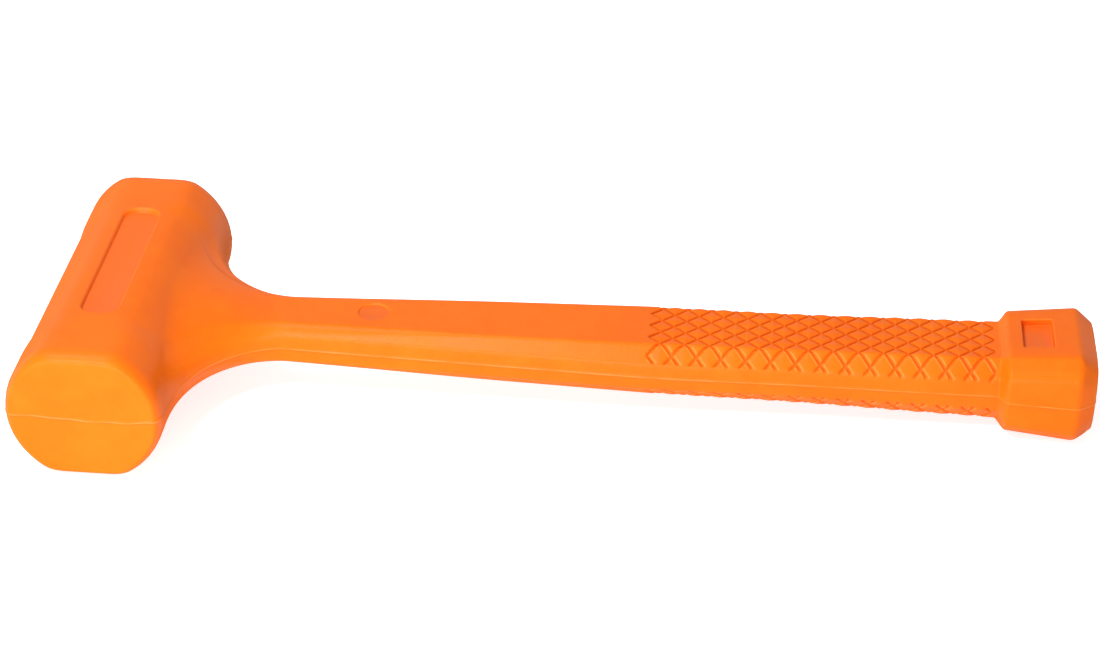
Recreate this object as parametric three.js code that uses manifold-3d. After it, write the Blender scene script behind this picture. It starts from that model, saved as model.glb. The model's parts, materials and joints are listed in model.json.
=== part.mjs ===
// A dead blow hammer: a polyurethane moulding cast over a steel canister of loose shot and a steel rod.
// Millimetres, +Z up. The hammer lies on the lower flat of its head, and that flat's centre is the origin.
// +X runs along the handle to the collar at its end, and the head's axis lies along Y.
import * as THREE from "three";
import { mergeVertices } from "three/addons/utils/BufferGeometryUtils.js";
import Module from "manifold-3d";

const wasm = await Module();
wasm.setup();

// Head: a cylinder with a flat above and below and a rounded rim round each striking face.
const HEAD_RADIUS = 22;
const HEAD_LENGTH = 105.4;
const FLAT_CUT = 1.9; // how deep each flat cuts into the round head
const RIM_LENGTH = 5.1; // the rounded rim measured along the head
const RIM_DEPTH = 2.3; // and measured towards its axis

// Neck: flares from the handle to an oval on the side of the head.
const NECK_REACH = 28.2; // from the side of the head to the start of the handle
const NECK_OVAL_LENGTH = 95.2; // the oval along the head
const NECK_OVAL_HEIGHT = 30.8; // the oval up and down
const NECK_SIDE_PULL = 1.64; // how long the flare hugs the head at the sides
const NECK_TOP_PULL = 0.62; // and above and below
const NECK_HANDLE_PULL = 28; // how long it hugs the line of the handle

// Handle: a flat top and bottom with elliptic sides, given at the neck, at the grip and at the collar.
const HANDLE_LENGTH = 206; // from the end of the neck to the foot of the collar
const NECK_FLAT_WIDTH = 16.2;
const NECK_THICKNESS = 13.8;
const NECK_WIDTH = 22.1;
const GRIP_FLAT_WIDTH = 18;
const GRIP_THICKNESS = 17;
const GRIP_WIDTH = 30.6;
const END_FLAT_WIDTH = 16.9;
const END_THICKNESS = 20.8;
const END_WIDTH = 28.7;

// Collar: an eight-sided block that grows towards the end of the handle.
const COLLAR_RAMP = 2.3; // the sloped step from the handle up to the collar
const COLLAR_LENGTH = 19.9; // the full section between its two slopes
const COLLAR_END_SLOPE = 5.3; // the slope at the far end, along the handle
const COLLAR_END_INSET = 4; // and across it
const COLLAR_FRONT = { topWidth: 25, height: 24.8, width: 35.4, sideHeight: 17 };
const COLLAR_BACK = { topWidth: 26.9, height: 28.4, width: 37.8, sideHeight: 19.6 };

// Shallow marks of the mould in the upper side.
const LABEL_LENGTH = 59;
const LABEL_WIDTH = 10.4;
const LABEL_CORNER = 4.2;
const LABEL_DEPTH = 1.1;
const LABEL_SHIFT = 1.5; // off the middle of the head, towards the rear face
const PIN_MARK_DIAMETER = 9;
const PIN_MARK_DEPTH = 0.5;
const PIN_MARK_FROM_NECK = 24.5;
const PIN_MARK_SHIFT = 0.9;
const POCKET_LENGTH = 8.5;
const POCKET_WIDTH = 14.4;
const POCKET_DEPTH = 2.1;
const POCKET_FROM_EDGE = 4.1; // behind the front edge of the collar's full section

// Grip: two sets of grooves cross each other, above and below, with a low diamond between every four.
const KNURL_PITCH = 7.09; // from one crossing to the next along the handle
const KNURL_LENGTH = 99.3;
const KNURL_END_GAP = 1.2; // from the last crossing to the foot of the collar
const KNURL_ROW = 3.15; // from one row of crossings to the next, straight across the handle
const KNURL_ROWS = 4; // on each side of the row in the middle
const KNURL_FOOT = 2.9; // height above the parting plane where the grooves have run out
const GROOVE_WIDTH = 1.24;
const GROOVE_DEPTH = 0.62;

// Steel inside the moulding.
const FIT_GAP = 0.3; // clearance between neighbouring pieces
const PARTING_GAP = 0.02; // between the two halves of the moulding
const FLAT_COVER = 3.6; // polyurethane between the canister and a flat, with its clearance
const FACE_COVER = 9; // and between the canister and a striking face
const CANISTER_WALL = 1.65;
const CAP_FLANGE = 1.6; // the part of a cap that covers the end of the tube
const CAP_PLUG = 2.4; // the part of a cap inside the tube
const ROD_COVER = 2.15; // polyurethane over the rod where the neck is thinnest
const ROD_END_COVER = 47; // from the end of the rod to the end of the collar
const SHOT_FILL = 0.74; // the share of the canister's length that a lane of shot takes up

// Values that follow from the sizes above.
const flatHeight = HEAD_RADIUS - FLAT_CUT; // from the parting plane to a flat
const neckEnd = HEAD_RADIUS + NECK_REACH;
const collarFoot = neckEnd + HANDLE_LENGTH;
const collarFront = collarFoot + COLLAR_RAMP;
const collarBack = collarFront + COLLAR_LENGTH;
const handleEnd = collarBack + COLLAR_END_SLOPE;
const halfPitch = KNURL_PITCH / 2;
const halfPitches = 2 * Math.round(KNURL_LENGTH / KNURL_PITCH);
const gripStart = collarFoot - KNURL_END_GAP - halfPitches * halfPitch;
// From a groove's middle to its edge, measured along the handle and measured straight across it.
const edgeAlong = ((GROOVE_WIDTH / 2) * Math.hypot(halfPitch, KNURL_ROW)) / KNURL_ROW;
const edgeAcross = (edgeAlong * KNURL_ROW) / halfPitch;
const canisterRadius = flatHeight - FLAT_COVER;
const boreRadius = canisterRadius - CANISTER_WALL;
const canisterLength = HEAD_LENGTH - 2 * FACE_COVER;
const tubeLength = canisterLength - 2 * (CAP_FLANGE + FIT_GAP);
const shotRoom = tubeLength + 2 * FIT_GAP - 2 * CAP_PLUG;
const rodRadius = NECK_THICKNESS / 2 - ROD_COVER;
const rodEnd = handleEnd - ROD_END_COVER;
// One lane lies in the middle of the bore, with six around it: three ball radii and two gaps fill its radius.
const OUTER_LANES = 6;
const ballRadius = (boreRadius - 2 * FIT_GAP) / 3;
const lanePitch = 2 * ballRadius + FIT_GAP;
const ballsPerLane = Math.round((SHOT_FILL * shotRoom) / lanePitch);

// How finely round forms are divided, and how far hidden stretches reach past what they join or cut.
const ROUND_STEPS = 32;
const CORNER_STEPS = 6;
const HEAD_ARC_STEPS = 14;
const RIM_STEPS = 4;
const BALL_DETAIL = 1;
const SIDE_LIMIT = 0.97; // the last row of the knurl stays within this share of the side's width
const FOOT_LIMIT = 0.25; // and its grooves run on at least this share of the way to the parting line
const NECK_STEPS = 9;
const NECK_SINK = 0.35; // the neck starts this far under the skin of the head
const NECK_ROOT = new THREE.Vector3(0.3, 0.9, 0.9); // its hidden end, as a share of the oval's place
const OVERSHOOT = 1; // cutters stand this far proud of what they cut
const MERGE_DISTANCE = 1e-4; // points closer than this are one point

const polyurethane = new THREE.MeshStandardMaterial({ color: 0xf97d2d, roughness: 0.5, metalness: 0 });
const tubeSteel = new THREE.MeshStandardMaterial({ color: 0x8b8f94, roughness: 0.45, metalness: 1 });
const capSteel = new THREE.MeshStandardMaterial({ color: 0x9a9b9c, roughness: 0.4, metalness: 1 });
const rodSteel = new THREE.MeshStandardMaterial({ color: 0x6f7276, roughness: 0.55, metalness: 1 });
const shotSteel = new THREE.MeshStandardMaterial({ color: 0xb4b6b8, roughness: 0.25, metalness: 1 });

// A closed geometry as a solid that can be cut and joined.
function solidOf(geometry) {
  const bare = geometry.clone();
  bare.deleteAttribute("normal");
  bare.deleteAttribute("uv");
  const merged = mergeVertices(bare, MERGE_DISTANCE);
  const vertProperties = merged.getAttribute("position").array;
  const triVerts = new Uint32Array(merged.index.array);
  return new wasm.Manifold(new wasm.Mesh({ numProp: 3, vertProperties, triVerts }));
}

// A solid as a named mesh.
function meshOf(name, solid, material) {
  const { vertProperties, triVerts } = solid.getMesh();
  const geometry = new THREE.BufferGeometry();
  geometry.setAttribute("position", new THREE.BufferAttribute(vertProperties, 3));
  geometry.setIndex(new THREE.BufferAttribute(triVerts, 1));
  geometry.computeVertexNormals();
  const mesh = new THREE.Mesh(geometry, material);
  mesh.name = name;
  return mesh;
}

// A closed solid through rings with equal numbers of points, each ring turning right-handed about the way
// from the first ring to the last, with a fan of triangles over each end. The diagonal of a cell runs from its
// first point to its last where leansUp(ring, point) says so, and otherwise between the other two.
function loft(rings, leansUp = () => true) {
  const count = rings[0].length;
  const points = rings.flat();
  const triangles = [];
  const centres = [rings[0], rings.at(-1)].map((ring) => {
    const sum = new THREE.Vector3();
    ring.forEach((point) => sum.add(point));
    points.push(sum.divideScalar(count));
    return points.length - 1;
  });
  const lastRing = (rings.length - 1) * count;
  for (let i = 0; i < count; i++) {
    const next = (i + 1) % count;
    triangles.push(centres[0], next, i);
    triangles.push(centres[1], lastRing + i, lastRing + next);
    for (let ring = 0; ring < lastRing; ring += count) {
      const a = ring + i;
      const b = ring + next;
      const c = a + count;
      const d = b + count;
      triangles.push(...(leansUp(ring / count, i) ? [a, b, d, a, d, c] : [a, b, c, b, d, c]));
    }
  }
  const geometry = new THREE.BufferGeometry().setFromPoints(points);
  geometry.setIndex(triangles);
  return solidOf(geometry);
}

// The outline of the head at one place along it: two arcs and two flats, all moved in by inset.
function headRing(y, inset) {
  const radius = HEAD_RADIUS - inset;
  const arc = Math.asin((flatHeight - inset) / radius);
  const ring = [];
  for (const side of [1, -1]) {
    for (let i = 0; i <= HEAD_ARC_STEPS; i++) {
      const angle = arc - (2 * arc * i) / HEAD_ARC_STEPS;
      ring.push(new THREE.Vector3(side * radius * Math.cos(angle), y, side * radius * Math.sin(angle)));
    }
  }
  return ring;
}

function headSolid() {
  const rings = [];
  for (const end of [-1, 1]) {
    const half = [];
    for (let i = 0; i <= RIM_STEPS; i++) {
      const angle = (i / RIM_STEPS) * (Math.PI / 2);
      const y = HEAD_LENGTH / 2 - RIM_LENGTH + RIM_LENGTH * Math.sin(angle);
      half.push(headRing(end * y, RIM_DEPTH * (1 - Math.cos(angle))));
    }
    rings.push(...(end < 0 ? half.reverse() : half));
  }
  return loft(rings);
}

// Half the handle's flat, half its thickness and half its width at one place along it.
const stations = [
  { x: neckEnd, flat: NECK_FLAT_WIDTH / 2, height: NECK_THICKNESS / 2, width: NECK_WIDTH / 2 },
  { x: gripStart, flat: GRIP_FLAT_WIDTH / 2, height: GRIP_THICKNESS / 2, width: GRIP_WIDTH / 2 },
  { x: collarFoot, flat: END_FLAT_WIDTH / 2, height: END_THICKNESS / 2, width: END_WIDTH / 2 },
];

function handleAt(x) {
  const [from, to] = x < gripStart ? stations.slice(0, 2) : stations.slice(1);
  const share = (x - from.x) / (to.x - from.x);
  const mix = (key) => THREE.MathUtils.lerp(from[key], to[key], share);
  return { flat: mix("flat"), height: mix("height"), width: mix("width") };
}

// Where a row of the knurl lies at x: its distance from the middle, and the angle round the elliptic side, from
// 0 at the edge of the flat. Past the last row, the angle runs on to where the grooves have run out, and in the
// next row to the parting line.
function rowPlace(x, rows) {
  const { flat, height, width } = handleAt(x);
  const fit = Math.min(1, width / (GRIP_WIDTH / 2));
  const y = fit * KNURL_ROW * Math.min(rows, KNURL_ROWS);
  const angle = Math.asin(THREE.MathUtils.clamp((y - flat) / (width - flat), 0, SIDE_LIMIT));
  if (rows <= KNURL_ROWS) return { y, angle };
  const limit = THREE.MathUtils.lerp(angle, Math.PI / 2, FOOT_LIMIT);
  const foot = Math.max(limit, Math.acos((fit * KNURL_FOOT) / height));
  const past = rows - KNURL_ROWS;
  if (past <= 1) return { y, angle: THREE.MathUtils.lerp(angle, foot, past) };
  return { y, angle: THREE.MathUtils.lerp(foot, Math.PI / 2, past - 1) };
}

// A point of the handle's upper surface, some rows to one side of its middle and sunk below the surface.
function handlePoint(x, side, rows, sink) {
  const { flat, height, width } = handleAt(x);
  const { y, angle } = rowPlace(x, rows);
  const bulge = width - flat;
  const outward = new THREE.Vector3(0, Math.sin(angle) / bulge, Math.cos(angle) / height).normalize();
  const level = angle > 0 ? flat : y;
  const point = new THREE.Vector3(x, level + bulge * Math.sin(angle), height * Math.cos(angle));
  point.addScaledVector(outward, -sink);
  return point.setY(side * point.y);
}

// The handle's section at x, from the +Y side over the top and back under it. Its points lie half a row of the
// knurl apart, and cut(column) may move a point along or across the handle or sink it.
const lastColumn = 2 * (KNURL_ROWS + 2);

function handleRing(x, cut = () => ({})) {
  const over = [];
  for (let i = lastColumn; i >= -lastColumn; i--) {
    const column = Math.abs(i);
    const { along = x, rows = column / 2, sink = 0 } = cut(column);
    over.push(handlePoint(along, Math.sign(i), rows, sink));
  }
  const mirror = new THREE.Vector3(1, 1, -1);
  const under = over.slice(1, -1).map((point) => point.clone().multiply(mirror)).reverse();
  return [...over, ...under];
}

// The grip's sections lie at every half pitch, where grooves cross in every other row, and half way between
// those, where every groove is half way from one row to the next. The other points stand on the grooves' edges
// and in the middle of the diamonds.
function gripRings() {
  const rings = [handleRing(gripStart - GROOVE_WIDTH / 4)];
  for (let i = 0; i <= halfPitches; i++) {
    const x = gripStart + i * halfPitch;
    const crossing = (column) => (i + Math.floor(column / 2)) % 2 === 0;
    const inKnurl = (column) => column < 2 * KNURL_ROWS + 2;
    const across = edgeAcross / KNURL_ROW;
    const onCrossings = (column) => {
      if (!inKnurl(column)) return {};
      if (column % 2 === 0) return { sink: crossing(column) ? GROOVE_DEPTH : 0 };
      return { rows: crossing(column) ? (column - 1) / 2 + across : (column + 1) / 2 - across };
    };
    const between = (column) => {
      if (!inKnurl(column)) return {};
      if (column % 2 === 1) return { sink: GROOVE_DEPTH };
      return { along: crossing(column) ? x + edgeAlong : x + halfPitch - edgeAlong };
    };
    rings.push(handleRing(x, onCrossings));
    if (i < halfPitches) rings.push(handleRing(x + halfPitch / 2, between));
  }
  rings.push(handleRing(gripStart + halfPitches * halfPitch + GROOVE_WIDTH / 4));
  return rings;
}

// Cubic curves run from the oval on the head to the points of the handle's first section.
function neckRings() {
  const { height, width } = handleAt(neckEnd);
  const radius = HEAD_RADIUS - NECK_SINK;
  const curves = handleRing(neckEnd).map((end) => {
    const angle = Math.atan2(end.z / height, end.y / width);
    const y = (NECK_OVAL_LENGTH / 2) * Math.cos(angle);
    const z = (NECK_OVAL_HEIGHT / 2) * Math.sin(angle);
    const start = new THREE.Vector3(Math.sqrt(radius * radius - z * z), y, z);
    const fall = z * NECK_TOP_PULL;
    const leave = new THREE.Vector3((fall * z) / start.x, -y * NECK_SIDE_PULL, -fall);
    const arrive = new THREE.Vector3(NECK_HANDLE_PULL, 0, 0);
    return new THREE.CubicBezierCurve3(
      start,
      start.clone().addScaledVector(leave, 1 / 3),
      end.clone().addScaledVector(arrive, -1 / 3),
      end,
    );
  });
  const rings = [curves.map((curve) => curve.v0.clone().multiply(NECK_ROOT))];
  for (let i = 0; i < NECK_STEPS; i++) {
    rings.push(curves.map((curve) => curve.getPoint(i / NECK_STEPS)));
  }
  return rings;
}

// In the grip, the diagonals follow the grooves. These lean one way in a cell of two by two and the other way in
// the next.
function neckAndHandleSolid() {
  const rings = [...neckRings(), handleRing(neckEnd)];
  const firstCrossings = rings.length + 1;
  rings.push(...gripRings(), handleRing(collarFoot));
  rings.push(rings.at(-1).map((point) => point.clone().setX(collarBack)));
  const cell = (place) => Math.floor(place / 2);
  return loft(rings, (ring, i) => (cell(ring - firstCrossings) + cell(i)) % 2 === 0);
}

// The collar's eight-sided section at x.
function collarRing(x, size, inset) {
  const top = [size.topWidth / 2 - inset / 2, size.height / 2 - inset];
  const side = [size.width / 2 - inset, size.sideHeight / 2 - inset / 2];
  const corners = [side, top, [-top[0], top[1]], [-side[0], side[1]]];
  const under = corners.map(([y, z]) => [y, -z]).reverse();
  return [...corners, ...under].map(([y, z]) => new THREE.Vector3(x, y, z));
}

function collarSolid() {
  const sideHeight = END_THICKNESS / 2;
  const foot = { topWidth: END_FLAT_WIDTH, height: END_THICKNESS, width: END_WIDTH, sideHeight };
  return loft([
    collarRing(collarFoot, foot, 0),
    collarRing(collarFront, COLLAR_FRONT, 0),
    collarRing(collarBack, COLLAR_BACK, 0),
    collarRing(handleEnd, COLLAR_BACK, COLLAR_END_INSET),
  ]);
}

function labelSolid() {
  const outline = new THREE.Shape();
  const x = LABEL_WIDTH / 2 - LABEL_CORNER;
  const y = LABEL_LENGTH / 2 - LABEL_CORNER;
  outline.absarc(x, y, LABEL_CORNER, 0, Math.PI / 2);
  outline.absarc(-x, y, LABEL_CORNER, Math.PI / 2, Math.PI);
  outline.absarc(-x, -y, LABEL_CORNER, Math.PI, 1.5 * Math.PI);
  outline.absarc(x, -y, LABEL_CORNER, 1.5 * Math.PI, 2 * Math.PI);
  const depth = LABEL_DEPTH + OVERSHOOT;
  const options = { depth, bevelEnabled: false, curveSegments: CORNER_STEPS };
  const geometry = new THREE.ExtrudeGeometry(outline, options);
  return solidOf(geometry.translate(0, LABEL_SHIFT, flatHeight - LABEL_DEPTH));
}

function pinMarkSolid() {
  const x = neckEnd + PIN_MARK_FROM_NECK;
  const radius = PIN_MARK_DIAMETER / 2;
  const depth = PIN_MARK_DEPTH + OVERSHOOT;
  const geometry = new THREE.CylinderGeometry(radius, radius, depth, ROUND_STEPS);
  geometry.rotateX(Math.PI / 2);
  return solidOf(geometry.translate(x, PIN_MARK_SHIFT, handleAt(x).height - PIN_MARK_DEPTH + depth / 2));
}

function pocketSolid() {
  const rise = Math.atan((COLLAR_BACK.height - COLLAR_FRONT.height) / 2 / COLLAR_LENGTH);
  const depth = POCKET_DEPTH + OVERSHOOT;
  const geometry = new THREE.BoxGeometry(POCKET_LENGTH, POCKET_WIDTH, depth);
  geometry.translate(POCKET_FROM_EDGE + POCKET_LENGTH / 2, 0, depth / 2 - POCKET_DEPTH);
  geometry.rotateY(-rise);
  return solidOf(geometry.translate(collarFront, 0, COLLAR_FRONT.height / 2));
}

function cylinderAlongY(radius, length) {
  return solidOf(new THREE.CylinderGeometry(radius, radius, length, ROUND_STEPS));
}

function cylinderAlongX(radius, fromX, toX) {
  const geometry = new THREE.CylinderGeometry(radius, radius, toX - fromX, ROUND_STEPS);
  geometry.rotateZ(Math.PI / 2);
  return solidOf(geometry.translate((fromX + toX) / 2, 0, 0));
}

// The moulding is one casting round the steel. It is split here along its own parting line.
function mouldingHalves() {
  const skin = headSolid().add(neckAndHandleSolid()).add(collarSolid());
  const canisterRoom = cylinderAlongY(canisterRadius + FIT_GAP, canisterLength + 2 * FIT_GAP);
  const rodRoom = cylinderAlongX(rodRadius + FIT_GAP, 0, rodEnd + FIT_GAP);
  const hollow = skin.subtract(canisterRoom).subtract(rodRoom);
  const span = 2 * (handleEnd + HEAD_LENGTH);
  const middle = (span + PARTING_GAP) / 2;
  const above = solidOf(new THREE.BoxGeometry(span, span, span).translate(0, 0, middle));
  const below = solidOf(new THREE.BoxGeometry(span, span, span).translate(0, 0, -middle));
  const marks = labelSolid().add(pinMarkSolid()).add(pocketSolid());
  const upper = hollow.intersect(above).subtract(marks);
  const lower = hollow.intersect(below);
  return [meshOf("upper_moulding", upper, polyurethane), meshOf("lower_moulding", lower, polyurethane)];
}

function canisterTube() {
  const half = tubeLength / 2;
  const profile = [
    [boreRadius, -half],
    [canisterRadius, -half],
    [canisterRadius, half],
    [boreRadius, half],
    [boreRadius, -half],
  ].map(([radius, y]) => new THREE.Vector2(radius, y));
  return meshOf("canister_tube", solidOf(new THREE.LatheGeometry(profile, ROUND_STEPS)), tubeSteel);
}

// A stepped disc: a plug inside the tube and a flange over its end.
function canisterCap(name, end) {
  const seat = tubeLength / 2 + FIT_GAP;
  const profile = [
    [0, seat - CAP_PLUG],
    [boreRadius - FIT_GAP, seat - CAP_PLUG],
    [boreRadius - FIT_GAP, seat],
    [canisterRadius, seat],
    [canisterRadius, seat + CAP_FLANGE],
    [0, seat + CAP_FLANGE],
  ].map(([radius, y]) => new THREE.Vector2(radius, y));
  const geometry = new THREE.LatheGeometry(profile, ROUND_STEPS);
  if (end < 0) geometry.rotateX(Math.PI);
  return meshOf(name, solidOf(geometry), capSteel);
}

// The rod's near end is hollowed to sit against the round side of the canister.
function coreRod() {
  const saddle = cylinderAlongY(canisterRadius + FIT_GAP, canisterLength);
  const rod = cylinderAlongX(rodRadius, canisterRadius / 2, rodEnd).subtract(saddle);
  return meshOf("core_rod", rod, rodSteel);
}

// One lane of shot along the canister, at its own place across the bore.
function shotLane(lane, x, z) {
  const group = new THREE.Group();
  group.position.set(x, 0, z);
  for (let i = 0; i < ballsPerLane; i++) {
    const ball = new THREE.Mesh(new THREE.IcosahedronGeometry(ballRadius, BALL_DETAIL), shotSteel);
    ball.name = `shot_lane${lane}_ball${i + 1}`;
    ball.position.y = (i - (ballsPerLane - 1) / 2) * lanePitch;
    group.add(ball);
  }
  return group;
}

function shotLanes() {
  const lanes = [shotLane(1, 0, 0)];
  for (let i = 0; i < OUTER_LANES; i++) {
    const angle = (2 * Math.PI * i) / OUTER_LANES;
    lanes.push(shotLane(i + 2, lanePitch * Math.cos(angle), lanePitch * Math.sin(angle)));
  }
  return lanes;
}

// The pieces are placed about the parting plane, which is one flat height above the origin.
const hammer = new THREE.Group();
hammer.position.z = flatHeight;
hammer.add(...mouldingHalves());
hammer.add(canisterTube(), canisterCap("front_cap", -1), canisterCap("rear_cap", 1));
hammer.add(coreRod(), ...shotLanes());

export default hammer;
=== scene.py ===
# %% [markdown]
# # A dead blow hammer in orange polyurethane
# The real hammer is one casting. Orange polyurethane is poured into a two-part mould, around a steel
# canister of loose shot in the head and a steel rod in the handle. The frame holds all of those pieces at
# their real size. The steel keeps its CAD shape and gets its finish below. The two halves of the casting
# are made again as fine surfaces, because everything that the eye meets is on them: the soft rims, the
# flared neck, the cross-cut grip and the thin line that the mould leaves all the way round.

# %% Load the frame
import json
from contextlib import contextmanager

import bmesh
import bpy
import numpy as np
from mathutils import Matrix, Vector

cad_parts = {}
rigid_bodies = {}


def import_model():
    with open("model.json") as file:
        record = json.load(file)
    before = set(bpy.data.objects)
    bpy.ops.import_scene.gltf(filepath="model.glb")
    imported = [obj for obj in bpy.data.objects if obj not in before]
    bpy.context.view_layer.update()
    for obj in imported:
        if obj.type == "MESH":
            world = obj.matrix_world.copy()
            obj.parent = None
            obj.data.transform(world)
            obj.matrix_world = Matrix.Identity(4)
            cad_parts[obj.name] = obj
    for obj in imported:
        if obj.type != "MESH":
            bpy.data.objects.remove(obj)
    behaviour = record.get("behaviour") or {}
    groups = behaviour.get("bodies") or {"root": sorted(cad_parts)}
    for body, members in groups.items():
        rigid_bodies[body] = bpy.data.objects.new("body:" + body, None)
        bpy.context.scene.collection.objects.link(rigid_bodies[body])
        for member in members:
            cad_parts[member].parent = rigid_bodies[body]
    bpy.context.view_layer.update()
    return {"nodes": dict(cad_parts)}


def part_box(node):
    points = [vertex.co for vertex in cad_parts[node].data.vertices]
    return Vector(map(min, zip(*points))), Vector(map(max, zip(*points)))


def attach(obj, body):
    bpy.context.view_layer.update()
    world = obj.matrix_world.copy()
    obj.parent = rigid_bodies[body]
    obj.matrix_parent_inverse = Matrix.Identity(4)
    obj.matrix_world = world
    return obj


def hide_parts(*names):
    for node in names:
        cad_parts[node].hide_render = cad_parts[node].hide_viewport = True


for thing in list(bpy.data.objects):
    bpy.data.objects.remove(thing)
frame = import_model()


def add_object(name, data):
    """A new object in the scene."""
    thing = bpy.data.objects.new(name, data)
    bpy.context.scene.collection.objects.link(thing)
    return thing


# %% [markdown]
# ## Camera
# A photograph of a plain object still tells where the camera stood: the head is a cylinder of known
# proportions, so its outline fixes the distance, the height and the lens. The camera is built from a place
# and three angles, because aiming it at a target would leave out the picture's small roll.

# %% Camera
PHOTO_WIDTH = 1100
FOCAL_PIXELS = 2631.0
CAMERA_PLACE = Vector((0.18669, -0.64607, 0.43490))
CAMERA_YAW = -0.09267
CAMERA_PITCH = 0.56171
CAMERA_ROLL = 0.00746


def camera_matrix(place, yaw, pitch, roll):
    """Columns: the picture's right, its up and the way back from the subject, turned about it by roll."""
    forward = Vector((np.sin(yaw) * np.cos(pitch), np.cos(yaw) * np.cos(pitch), -np.sin(pitch)))
    level = Vector((np.cos(yaw), -np.sin(yaw), 0))
    upright = level.cross(forward)
    right = np.cos(roll) * level + np.sin(roll) * upright
    up = np.cos(roll) * upright - np.sin(roll) * level
    turn = Matrix((right, up, -forward)).transposed()
    return Matrix.Translation(place) @ turn.to_4x4()


camera_data = bpy.data.cameras.new("photo_camera")
camera_data.sensor_fit = "HORIZONTAL"
camera_data.lens = FOCAL_PIXELS / PHOTO_WIDTH * camera_data.sensor_width
camera = add_object("photo_camera", camera_data)
camera.matrix_world = camera_matrix(CAMERA_PLACE, CAMERA_YAW, CAMERA_PITCH, CAMERA_ROLL)
bpy.context.scene.camera = camera
print(f"camera lens {camera_data.lens:.1f} mm")

# %% [markdown]
# ## Sizes
# The outer sizes are read from the frame, so the skin can't drift from the construction. The rest are the
# casting's own sizes. Shapes are worked out in millimetres about the middle of the head, with z = 0 on the
# parting plane, and are moved to the frame's place only when a mesh is made.

# %% Sizes
MM = 0.001
casting_low, casting_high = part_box("upper_moulding")
HEAD_RADIUS = -casting_low.x / MM
HEAD_HALF = casting_high.y / MM
FLAT_HEIGHT = casting_high.z / MM / 2
HANDLE_END = casting_high.x / MM

RIM_LENGTH = 5.1
RIM_DEPTH = 2.3
RIM_START = HEAD_HALF - RIM_LENGTH
FLAT_EDGE = 1.5

NECK_END = 50.2
OVAL_HALF_LENGTH = 47.1
OVAL_HALF_HEIGHT = 15.4
SIDE_PULL = 1.64
TOP_PULL = 1.15
HANDLE_PULL = 28

HALF_PITCH = 3.545
PITCH_STEPS = 28
GRIP_START = 155.74
GRIP_END = GRIP_START + PITCH_STEPS * HALF_PITCH
COLLAR_FOOT = 256.2
COLLAR_FRONT = 258.5
COLLAR_BACK = 278.4
print(f"head {2 * HEAD_RADIUS:.1f} x {2 * HEAD_HALF:.1f} mm, grip to {GRIP_END:.1f} mm")

# %% [markdown]
# ## Rounded corners by formula
# A mould is polished, so no edge of the casting is knife sharp. A bevel modifier would round edges after
# the fact and needs clean topology. A softened minimum rounds them in the formula itself: where two
# surfaces compete to be the nearer one, it slides from one to the other over a chosen width.


# %% Soft minimum and easing
def soft_min(a, b, width):
    """The lesser of a and b, less width/4 where they are equal, blended while they differ by under width."""
    share = np.clip(0.5 + 0.5 * (b - a) / width, 0, 1)
    return b + (a - b) * share - width * share * (1 - share)


def soft_max(a, b, width):
    """The greater of a and b, blended in the same way."""
    return -soft_min(-np.asarray(a), -np.asarray(b), width)


def ease(low, high, value):
    """0 below low, 1 above high and 3t^2 - 2t^3 between them."""
    t = np.clip((value - low) / (high - low), 0, 1)
    return t * t * (3 - 2 * t)


print("soft minimum of 1 and 1 over a width of 0.4:", soft_min(1.0, 1.0, 0.4))

# %% [markdown]
# ## Handle section
# Across the handle, the casting is a rounded octagon: flat above and below, with a slanted shoulder on
# each side and sides that lean in a little, so that the casting leaves its mould. The edges are rounder
# near the neck. The section grows from the neck to the grip in a straight taper, and then gets thicker and
# a little narrower. Every size along the handle is two straight tapers with the bend between them eased,
# so no crease shows at the grip. The grip is drawn in a little at its middle, where the palm closes round
# it.

# %% Handle section
# Half sizes at the neck, at the start of the grip and at the collar
HALF_FLAT = (8.5, 10.35, 10.0)
HALF_THICKNESS = (6.65, 8.55, 10.25)
HALF_WIDTH = (11.05, 15.3, 14.35)
SIDE_LEAN = (0.4, 0.7, 0.6)
SIDE_HEIGHT = (4.2, 4.1, 5.3)

BEND_EASE = 5
WAIST = (160, 240)
WAIST_DEPTH = 0.2
WAIST_SIDE_DEPTH = 0.35
TOP_ROUND = 0.7
NECK_ROUND = 2.2
ROUND_END = 115
SIDE_ROUND = 1.3


def along_handle(x, at_neck, at_grip, at_collar):
    """Two straight tapers that meet at the start of the grip, with the bend between them eased."""
    before = (at_grip - at_neck) / (GRIP_START - NECK_END)
    after = (at_collar - at_grip) / (COLLAR_FOOT - GRIP_START)
    past = x - GRIP_START
    eased = 0.5 * (past + np.sqrt(past**2 + BEND_EASE**2))
    return at_grip + before * past + (after - before) * eased


def handle_sizes(x):
    """Half the flat, half the thickness and half the width at x, drawn in at the waist by sin^2."""
    waist = np.sin(np.pi * np.clip((x - WAIST[0]) / (WAIST[1] - WAIST[0]), 0, 1)) ** 2
    flat = along_handle(x, *HALF_FLAT) - WAIST_DEPTH * waist
    height = along_handle(x, *HALF_THICKNESS) - WAIST_DEPTH * waist
    width = along_handle(x, *HALF_WIDTH) - WAIST_SIDE_DEPTH * waist
    return flat, height, width


def shoulder_foot(x):
    """Half the width and half the thickness where the slanted shoulder meets the side."""
    return handle_sizes(x)[2] - along_handle(x, *SIDE_LEAN), along_handle(x, *SIDE_HEIGHT)


def section_height(x, y):
    """Height of the section at y: the softened least of the flat, the shoulder and the side."""
    flat, height, width = handle_sizes(x)
    foot_y, foot_z = shoulder_foot(x)
    shoulder = height - (height - foot_z) * (y - flat) / (foot_y - flat)
    side = foot_z * (width - y) / (width - foot_y)
    top_round = TOP_ROUND + NECK_ROUND * (1 - ease(NECK_END, ROUND_END, x))
    return soft_min(soft_min(height, shoulder, top_round), side, SIDE_ROUND)


print("half flat, thickness and width at the grip:", np.round(handle_sizes(GRIP_START), 2))

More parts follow.
